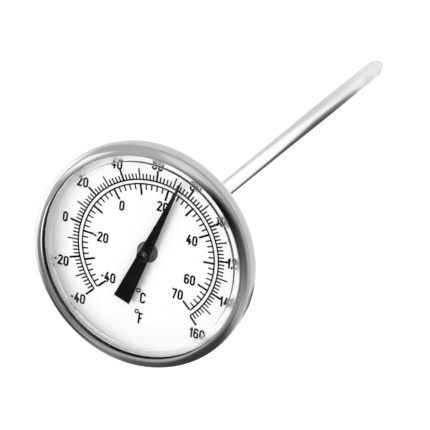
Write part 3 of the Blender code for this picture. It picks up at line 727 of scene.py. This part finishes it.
for is_tip, width, reach in ((True, POINTER_TIP_WIDTH, POINTER_REACH), (False, POINTER_TAIL_WIDTH, -POINTER_TAIL)):
    blade = bmesh.from_edit_mesh(pointer.data)
    bpy.ops.mesh.select_all(action="DESELECT")
    for point in blade.verts:
        point.select_set((point.co.y > 0) == is_tip)
    blade.select_flush(True)
    bmesh.update_edit_mesh(pointer.data)
    bpy.ops.transform.resize(value=(width / POINTER_TAIL_WIDTH, 1, 1), center_override=(0, 0, blade_low.z))
    move = reach - math.copysign(POINTER_TAIL_WIDTH / 2, reach)
    bpy.ops.transform.translate(value=(0, move, 0))
bpy.ops.mesh.select_all(action="SELECT")
bpy.ops.mesh.extrude_region_move(TRANSFORM_OT_translate={"value": (0, 0, blade_thickness)})
bpy.ops.mesh.select_all(action="SELECT")
bpy.ops.mesh.normals_make_consistent(inside=False)
bpy.ops.object.mode_set(mode="OBJECT")
punch = turned("pointer_punch", [
    (0.0, blade_high.z + blade_thickness), (HUB_BORE, blade_high.z + blade_thickness),
    (HUB_BORE, blade_low.z - blade_thickness), (0.0, blade_low.z - blade_thickness),
], STEM_STEPS)
bpy.ops.object.select_all(action="DESELECT")
pointer.select_set(True)
bpy.context.view_layer.objects.active = pointer
hole = pointer.modifiers.new("spindle_hole", "BOOLEAN")
hole.operation = "DIFFERENCE"
hole.object = punch
hole.solver = "EXACT"
bpy.ops.object.modifier_apply(modifier=hole.name)
bpy.data.objects.remove(punch, do_unlink=True)
rolled_edges = pointer.modifiers.new("rolled_edges", "BEVEL")
rolled_edges.width = POINTER_EDGE
rolled_edges.segments = 3
rolled_edges.limit_method = "ANGLE"
rolled_edges.angle_limit = SMOOTH_ANGLE
bpy.ops.object.modifier_apply(modifier=rolled_edges.name)
pointer.rotation_euler.z = pointer_turn
bpy.ops.object.transform_apply(rotation=True)
bpy.ops.object.shade_smooth_by_angle(angle=SMOOTH_ANGLE)
black_paint = finish("satin_black_paint", PAINT_BLACK, 0.35, 0.0)
black_paint.node_tree.nodes["Principled BSDF"].inputs["Specular IOR Level"].default_value = 0.1
shading(black_paint, PAINT_BLACK, PAINT_SHADE, (1500, 1500, 1500))
grain(black_paint, on_piece(black_paint), (6000, 6000, 6000), 0.30, 0.42, 0.0000006)
fit(pointer, black_paint, "pointer", "pointer_black", "pointer_blade")


# Spacer: a white moulded ring that stands on the dial's edge under the lens.
# It keeps the dial down on its ledge and the pointer clear of the glass.
spacer_low, spacer_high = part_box("spacer_ring")
SPACER_WALL = 0.0004
SPACER_EDGE = 0.0001
SPACER_WHITE = (0.86, 0.86, 0.85)
SPACER_SHADE = (0.83, 0.83, 0.82)
spacer = turned("dial_spacer", rounded([
    (spacer_high.x, spacer_high.z, SPACER_EDGE), (spacer_high.x, spacer_low.z, SPACER_EDGE),
    (spacer_high.x - SPACER_WALL, spacer_low.z, SPACER_EDGE),
    (spacer_high.x - SPACER_WALL, spacer_high.z, SPACER_EDGE),
]), HEAD_STEPS)
white_moulding = finish("white_moulding", SPACER_WHITE, 0.45, 0.0)
shading(white_moulding, SPACER_WHITE, SPACER_SHADE, (500, 500, 500))
grain(white_moulding, on_piece(white_moulding), (4000, 4000, 4000), 0.38, 0.55, 0.000001)
fit(spacer, white_moulding, "head", "spacer_white", "spacer_ring")


# Gasket: a flat black rubber ring that seals the lens to the flange of the case.
# The bezel squeezes it all round when it is crimped.
gasket_low, gasket_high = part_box("lens_gasket")
GASKET_WIDTH = 0.0010
GASKET_EDGE = 0.00015
RUBBER = (0.05, 0.05, 0.05)
RUBBER_SHADE = (0.035, 0.035, 0.035)
gasket = turned("rubber_gasket", rounded([
    (gasket_high.x, gasket_high.z, GASKET_EDGE), (gasket_high.x, gasket_low.z, GASKET_EDGE),
    (gasket_high.x - GASKET_WIDTH, gasket_low.z, GASKET_EDGE),
    (gasket_high.x - GASKET_WIDTH, gasket_high.z, GASKET_EDGE),
]), HEAD_STEPS)
rubber = finish("black_rubber", RUBBER, 0.8, 0.0)
shading(rubber, RUBBER, RUBBER_SHADE, (1500, 1500, 1500))
grain(rubber, on_piece(rubber), (9000, 9000, 9000), 0.7, 0.9, 0.000002)
fit(gasket, rubber, "head", "gasket_rubber", "lens_gasket")


# Lens: a clear moulding with a raised flat window, a shoulder inside the bezel and a thin matt flange under it.
# The low pip in its middle is where the mould was filled.
lens_low, lens_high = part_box("lens")
LENS_PIP_RADIUS = 0.0009
LENS_PIP_RISE = 0.00015
LENS_PIP_EDGE = 0.0001
LENS_FLANGE = 0.00065
LENS_SHOULDER = 0.0190
LENS_SHOULDER_EDGE = 0.00014
LENS_FOOT_EDGE = 0.0001
LENS_MATT_WIDTH = 0.0005
LENS_MATT_ROUGHNESS = 0.42
LENS_INDEX = 1.49
LENS_TINT = (0.985, 0.99, 0.99)
lens_face = lens_high.z - LENS_PIP_RISE
lens = turned("clear_lens", rounded([
    (0.0, lens_high.z, 0), (LENS_PIP_RADIUS, lens_high.z, LENS_PIP_EDGE),
    (LENS_PIP_RADIUS + LENS_PIP_RISE, lens_face, LENS_PIP_EDGE),
    (LENS_SHOULDER, lens_face, LENS_SHOULDER_EDGE), (LENS_SHOULDER, lens_low.z + LENS_FLANGE, LENS_FOOT_EDGE),
    (lens_high.x, lens_low.z + LENS_FLANGE, LENS_FOOT_EDGE), (lens_high.x, lens_low.z, LENS_FOOT_EDGE),
    (0.0, lens_low.z, 0),
], closed=False), HEAD_STEPS)
clear = finish("clear_moulding", LENS_TINT, 0.0, 0.0)
clear_shader = clear.node_tree.nodes["Principled BSDF"]
clear_shader.inputs["Transmission Weight"].default_value = 1.0
clear_shader.inputs["IOR"].default_value = LENS_INDEX
lens_place = clear.node_tree.nodes.new("ShaderNodeSeparateXYZ")
clear.node_tree.links.new(round_axis(clear), lens_place.inputs["Vector"])
matt_flange = clear.node_tree.nodes.new("ShaderNodeMapRange")
matt_flange.inputs["From Min"].default_value = LENS_SHOULDER
matt_flange.inputs["From Max"].default_value = LENS_SHOULDER + LENS_MATT_WIDTH
matt_flange.inputs["To Max"].default_value = LENS_MATT_ROUGHNESS
clear.node_tree.links.new(lens_place.outputs["X"], matt_flange.inputs["Value"])
clear.node_tree.links.new(matt_flange.outputs["Result"], clear_shader.inputs["Roughness"])
ray = clear.node_tree.nodes.new("ShaderNodeLightPath")
passing = clear.node_tree.nodes.new("ShaderNodeMath")
passing.operation = "MAXIMUM"
clear.node_tree.links.new(ray.outputs["Is Shadow Ray"], passing.inputs[0])
clear.node_tree.links.new(ray.outputs["Is Diffuse Ray"], passing.inputs[1])
see_through = clear.node_tree.nodes.new("ShaderNodeBsdfTransparent")
lens_mix = clear.node_tree.nodes.new("ShaderNodeMixShader")
clear.node_tree.links.new(passing.outputs["Value"], lens_mix.inputs["Fac"])
clear.node_tree.links.new(clear_shader.outputs["BSDF"], lens_mix.inputs[1])
clear.node_tree.links.new(see_through.outputs["BSDF"], lens_mix.inputs[2])
lens_output = clear.node_tree.nodes["Material Output"]
clear.node_tree.links.new(lens_mix.outputs["Shader"], lens_output.inputs["Surface"])
fit(lens, clear, "head", "lens_clear", "lens")


# Bezel: a ring rolled from polished stainless sheet, with a lip curled down to the lens and a low domed face.
# It is dropped over the lens, and its back edge is crimped under the flange of the case.
bezel_low, bezel_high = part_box("bezel_ring")
BEZEL_SHEET = 0.00045
BEZEL_OPENING = 0.02005
BEZEL_LIP_CURL = 0.0005
BEZEL_LIP_RISE = 0.00135
BEZEL_LIP_FULLNESS = 1.2
BEZEL_DOME_DROP = 0.0010
BEZEL_DOME_FULLNESS = 1.6
BEZEL_CRIMP_BEND = 0.0009
BEZEL_CRIMP_EDGE = 0.02125
BEZEL_CURVE_STEPS = 24
BEZEL_GREY = (0.80, 0.80, 0.805)
BEZEL_SHADE = (0.76, 0.76, 0.765)


def quarter(foot, top, fullness):
    """Points from an upright foot to a level top: a quarter of an ellipse at fullness 2, a straight line at 1."""
    points = []
    for step in range(BEZEL_CURVE_STEPS + 1):
        angle = math.pi / 2 * step / BEZEL_CURVE_STEPS
        across = math.cos(angle) ** (2 / fullness)
        up = math.sin(angle) ** (2 / fullness)
        points.append((top[0] + (foot[0] - top[0]) * across, foot[1] + (top[1] - foot[1]) * up))
    return points


bezel_inside = bezel_high.x - BEZEL_SHEET
crown = (BEZEL_OPENING + BEZEL_LIP_CURL, bezel_high.z)
lip_foot = (BEZEL_OPENING, bezel_high.z - BEZEL_LIP_RISE)
dome_foot = (bezel_high.x, bezel_high.z - BEZEL_DOME_DROP)
under_crown = (crown[0], crown[1] - BEZEL_SHEET)
bezel_outline = quarter(lip_foot, crown, BEZEL_LIP_FULLNESS)
bezel_outline += reversed(quarter(dome_foot, crown, BEZEL_DOME_FULLNESS)[:-1])
bezel_outline += rounded([
    dome_foot + (0,), (bezel_high.x, bezel_low.z, BEZEL_CRIMP_BEND), (BEZEL_CRIMP_EDGE, bezel_low.z, 0),
    (BEZEL_CRIMP_EDGE, bezel_low.z + BEZEL_SHEET, 0),
    (bezel_inside, bezel_low.z + BEZEL_SHEET, BEZEL_CRIMP_BEND - BEZEL_SHEET), (bezel_inside, dome_foot[1], 0),
], closed=False)[1:-1]
bezel_outline += quarter((bezel_inside, dome_foot[1]), under_crown, BEZEL_DOME_FULLNESS)
bezel_outline.append((BEZEL_OPENING + BEZEL_SHEET, lip_foot[1]))
bezel = turned("polished_bezel", bezel_outline, HEAD_STEPS)
bezel_steel = finish("polished_bezel_steel", BEZEL_GREY, 0.1, 1.0)
shading(bezel_steel, BEZEL_GREY, BEZEL_SHADE, (220, 220, 220))
grain(bezel_steel, round_axis(bezel_steel), (9000, 1, 9000), 0.07, 0.13, 0.0000003)
fit(bezel, bezel_steel, "head", "bezel_steel", "bezel_ring")


# Floor: a plain white sheet that the point stands on, far wider than the view.
# Seen directly or in metal it is lifted to white, and it keeps the soft shadow.
FLOOR_DROP = 0.0005
FLOOR_SIZE = 6.0
FLOOR_WHITE = (0.86, 0.86, 0.86, 1.0)
FLOOR_LIFT = 0.52
FLOOR_LIT_RADIUS = 0.066
FLOOR_DIM_RADIUS = 0.098


def seen_directly(tree, in_metal=None):
    """One for rays from the camera, from metal and through glass, and nought for the rest; metal may see less."""
    path = tree.nodes.new("ShaderNodeLightPath")
    glossy = path.outputs["Is Glossy Ray"]
    if in_metal:
        share = tree.nodes.new("ShaderNodeMath")
        share.operation = "MULTIPLY"
        tree.links.new(glossy, share.inputs[0])
        tree.links.new(in_metal, share.inputs[1])
        glossy = share.outputs["Value"]
    first = tree.nodes.new("ShaderNodeMath")
    first.operation = "MAXIMUM"
    second = tree.nodes.new("ShaderNodeMath")
    second.operation = "MAXIMUM"
    tree.links.new(path.outputs["Is Camera Ray"], first.inputs[0])
    tree.links.new(glossy, first.inputs[1])
    tree.links.new(first.outputs["Value"], second.inputs[0])
    tree.links.new(path.outputs["Is Transmission Ray"], second.inputs[1])
    return second.outputs["Value"]


bpy.ops.object.select_all(action="DESELECT")
bpy.ops.mesh.primitive_plane_add(size=FLOOR_SIZE, location=(0, 0, tip_low.z - FLOOR_DROP))
floor = bpy.context.object
floor.name = "floor"
paper = finish("white_paper", FLOOR_WHITE[:3], 0.9, 0.0)
paper_shader = paper.node_tree.nodes["Principled BSDF"]
paper_shader.inputs["Specular IOR Level"].default_value = 0.0
paper_shader.inputs["Emission Color"].default_value = (1, 1, 1, 1)
from_stem = paper.node_tree.nodes.new("ShaderNodeVectorMath")
from_stem.operation = "LENGTH"
paper.node_tree.links.new(on_piece(paper), from_stem.inputs[0])
lit_round_stem = paper.node_tree.nodes.new("ShaderNodeMapRange")
lit_round_stem.interpolation_type = "SMOOTHSTEP"
lit_round_stem.inputs["From Min"].default_value = FLOOR_LIT_RADIUS
lit_round_stem.inputs["From Max"].default_value = FLOOR_DIM_RADIUS
lit_round_stem.inputs["To Min"].default_value = 1.0
lit_round_stem.inputs["To Max"].default_value = 0.0
paper.node_tree.links.new(from_stem.outputs["Value"], lit_round_stem.inputs["Value"])
lift = paper.node_tree.nodes.new("ShaderNodeMath")
lift.operation = "MULTIPLY"
lift.inputs[1].default_value = FLOOR_LIFT
paper.node_tree.links.new(seen_directly(paper.node_tree, lit_round_stem.outputs["Result"]), lift.inputs[0])
paper.node_tree.links.new(lift.outputs["Value"], paper_shader.inputs["Emission Strength"])
floor.data.materials.append(paper)


# Studio light: a white room, one large soft lamp on the left, and cards that metal and glass reflect.
# The cards and the tent round them stand outside the picture and show only in reflections.
ROOM_LIGHT = 0.83
KEY_PLACE = (187.0, 60.0)
KEY_DISTANCE = 0.45
KEY_SIZE = 0.28
KEY_POWER = 1.2
DIAL_MIDDLE = Vector((0, 0, dial_high.z))
TENT_RADIUS = 0.9
TENT_TONE = 0.50


def towards(azimuth, elevation):
    """Unit direction from the dial, anticlockwise from +X and up from level, in degrees."""
    turn, rise = math.radians(azimuth), math.radians(elevation)
    return Vector((math.cos(turn) * math.cos(rise), math.sin(turn) * math.cos(rise), math.sin(rise)))


def only_reflected(item):
    """Keep a studio item out of the picture and of the light on the object: metal and glass still show it."""
    item.visible_camera = False
    item.visible_diffuse = False
    item.visible_shadow = False


def card(name, place, turn, wide, tall, tone, edge):
    """A card at a place, turned by Euler angles: its size in metres, its tone and the share that its soft edge takes."""
    bpy.ops.object.select_all(action="DESELECT")
    bpy.ops.mesh.primitive_plane_add(size=2.0, location=place, rotation=turn)
    card = bpy.context.object
    card.name = name
    card.scale = (wide / 2, tall / 2, 1)
    material = bpy.data.materials.new(name)
    material.use_nodes = True
    tree = material.node_tree
    tree.nodes.remove(tree.nodes["Principled BSDF"])
    glow = tree.nodes.new("ShaderNodeEmission")
    glow.inputs["Color"].default_value = (tone, tone, tone, 1.0)
    away = tree.nodes.new("ShaderNodeVectorMath")
    away.operation = "ABSOLUTE"
    tree.links.new(on_piece(material), away.inputs[0])
    split = tree.nodes.new("ShaderNodeSeparateXYZ")
    tree.links.new(away.outputs["Vector"], split.inputs["Vector"])
    furthest = tree.nodes.new("ShaderNodeMath")
    furthest.operation = "MAXIMUM"
    tree.links.new(split.outputs["X"], furthest.inputs[0])
    tree.links.new(split.outputs["Y"], furthest.inputs[1])
    fade = tree.nodes.new("ShaderNodeMapRange")
    fade.interpolation_type = "SMOOTHSTEP"
    fade.inputs["From Min"].default_value = 1.0 - edge
    tree.links.new(furthest.outputs["Value"], fade.inputs["Value"])
    clear_edge = tree.nodes.new("ShaderNodeBsdfTransparent")
    blend = tree.nodes.new("ShaderNodeMixShader")
    tree.links.new(fade.outputs["Result"], blend.inputs["Fac"])
    tree.links.new(glow.outputs["Emission"], blend.inputs[1])
    tree.links.new(clear_edge.outputs["BSDF"], blend.inputs[2])
    tree.links.new(blend.outputs["Shader"], tree.nodes["Material Output"].inputs["Surface"])
    card.data.materials.append(material)
    only_reflected(card)


def standing_card(name, azimuth, elevation, distance, wide, tall, tone, edge):
    """A card that faces the dial from a direction and a distance."""
    out = towards(azimuth, elevation)
    card(name, DIAL_MIDDLE + out * distance, out.to_track_quat("Z", "Y").to_euler(), wide, tall, tone, edge)


def lying_card(name, azimuth, near, far, aside, wide, tone, edge):
    """A card on the floor that runs outwards from the stem, moved aside from its axis."""
    turn = math.radians(azimuth)
    middle = (near + far) / 2
    place = (middle * math.cos(turn) - aside * math.sin(turn), middle * math.sin(turn) + aside * math.cos(turn),
             tip_low.z)
    card(name, place, (0, 0, turn), far - near, wide, tone, edge)


standing_card("lens_flag", 230, 59, 0.30, 0.065, 0.065, 0.0, 0.15)
standing_card("white_edge", 215, 50, 0.29, 0.045, 0.045, 2.0, 0.5)
standing_card("white_left", 175, 47, 0.31, 0.13, 0.12, 1.1, 0.4)
standing_card("black_stripe", 280, 15, 0.28, 0.20, 0.65, 0.05, 0.55)
standing_card("dark_stripe", 275, 0, 0.32, 0.50, 0.75, 0.1, 0.55)
standing_card("dim_patch", 220, 35, 0.34, 0.20, 0.25, 0.2, 0.55)
standing_card("black_bar", 235, 75, 0.36, 0.05, 0.25, 0.0, 0.65)
standing_card("white_right", 315, -25, 0.38, 0.35, 0.30, 1.0, 0.55)
standing_card("black_ceiling", 320, 85, 0.40, 0.50, 0.30, 0.0, 0.85)
standing_card("light_ceiling", 95, 70, 0.42, 0.25, 0.55, 0.8, 0.6)
standing_card("dim_front", 45, -10, 0.44, 1.15, 0.45, 0.1, 0.95)
standing_card("black_patch", 230, 10, 0.46, 0.35, 0.35, 0.0, 0.95)
standing_card("dim_ceiling", 355, 65, 0.48, 0.70, 0.60, 0.1, 0.9)
standing_card("light_front", 75, 50, 0.50, 0.40, 0.35, 0.7, 0.65)
standing_card("white_box", 185, -15, 0.60, 1.20, 4.80, 1.2, 0.75)
lying_card("white_ground", 195, 0.09, 0.66, 0.0, 0.40, 1.0, 0.6)
lying_card("dark_ground", 260, 0.08, 0.40, 0.0, 0.22, 0.2, 0.55)
lying_card("white_ground_right", 310, 0.14, 0.42, 0.0, 0.20, 1.1, 0.5)
lying_card("grey_ground", 10, 0.10, 0.28, 0.0, 0.35, 0.5, 0.9)
lying_card("dark_strip", 300, -0.01, 0.11, 0.005, 0.05, 0.1, 0.5)
lying_card("grey_strip", 135, -0.01, 0.11, 0.0, 0.055, 0.75, 0.5)
bpy.ops.object.select_all(action="DESELECT")
bpy.ops.mesh.primitive_uv_sphere_add(radius=TENT_RADIUS, location=DIAL_MIDDLE)
tent = bpy.context.object
tent.name = "grey_tent"
tent_cloth = finish("tent_cloth", (0, 0, 0), 1.0, 0.0)
tent_shader = tent_cloth.node_tree.nodes["Principled BSDF"]
tent_shader.inputs["Specular IOR Level"].default_value = 0.0
tent_shader.inputs["Emission Color"].default_value = (1, 1, 1, 1)
tent_shader.inputs["Emission Strength"].default_value = TENT_TONE
tent.data.materials.append(tent_cloth)
only_reflected(tent)
world = bpy.data.worlds.new("white_room")
bpy.context.scene.world = world
world.use_nodes = True
room = world.node_tree
room_light = room.nodes["Background"]
room_light.inputs["Color"].default_value = (1, 1, 1, 1)
room_light.inputs["Strength"].default_value = ROOM_LIGHT
room_white = room.nodes.new("ShaderNodeBackground")
room_white.inputs["Color"].default_value = (1, 1, 1, 1)
room_mix = room.nodes.new("ShaderNodeMixShader")
room.links.new(seen_directly(room), room_mix.inputs["Fac"])
room.links.new(room_light.outputs["Background"], room_mix.inputs[1])
room.links.new(room_white.outputs["Background"], room_mix.inputs[2])
room.links.new(room_mix.outputs["Shader"], room.nodes["World Output"].inputs["Surface"])
key_data = bpy.data.lights.new("key_lamp", "AREA")
key_data.shape = "SQUARE"
key_data.size = KEY_SIZE
key_data.energy = KEY_POWER
key = bpy.data.objects.new("key_lamp", key_data)
bpy.context.scene.collection.objects.link(key)
key.location = DIAL_MIDDLE + towards(*KEY_PLACE) * KEY_DISTANCE
key.rotation_euler = towards(*KEY_PLACE).to_track_quat("Z", "Y").to_euler()
key.visible_camera = False
key.visible_glossy = False
key.visible_transmission = False
kept_dark = bpy.data.collections.new("lit_by_room_only")
kept_dark.objects.link(floor)
kept_dark.collection_objects[0].light_linking.link_state = "EXCLUDE"
key.light_linking.receiver_collection = kept_dark


# Camera: a long lens that looks down on the dial from beyond its upper right edge, with the stem running away.
CAMERA_LENS = 500.0
CAMERA_SENSOR = 36.0
CAMERA_PLACE = (0.374416, 0.452248, 0.986924)
CAMERA_TURN = (-20.2803, 23.0486, 7.2948)
camera_data = bpy.data.cameras.new("camera")
camera_data.lens = CAMERA_LENS
camera_data.sensor_width = CAMERA_SENSOR
camera = bpy.data.objects.new("camera", camera_data)
bpy.context.scene.collection.objects.link(camera)
camera.location = CAMERA_PLACE
camera.rotation_euler = [math.radians(turn) for turn in CAMERA_TURN]
bpy.context.scene.camera = camera
bpy.context.scene.view_settings.view_transform = "Standard"
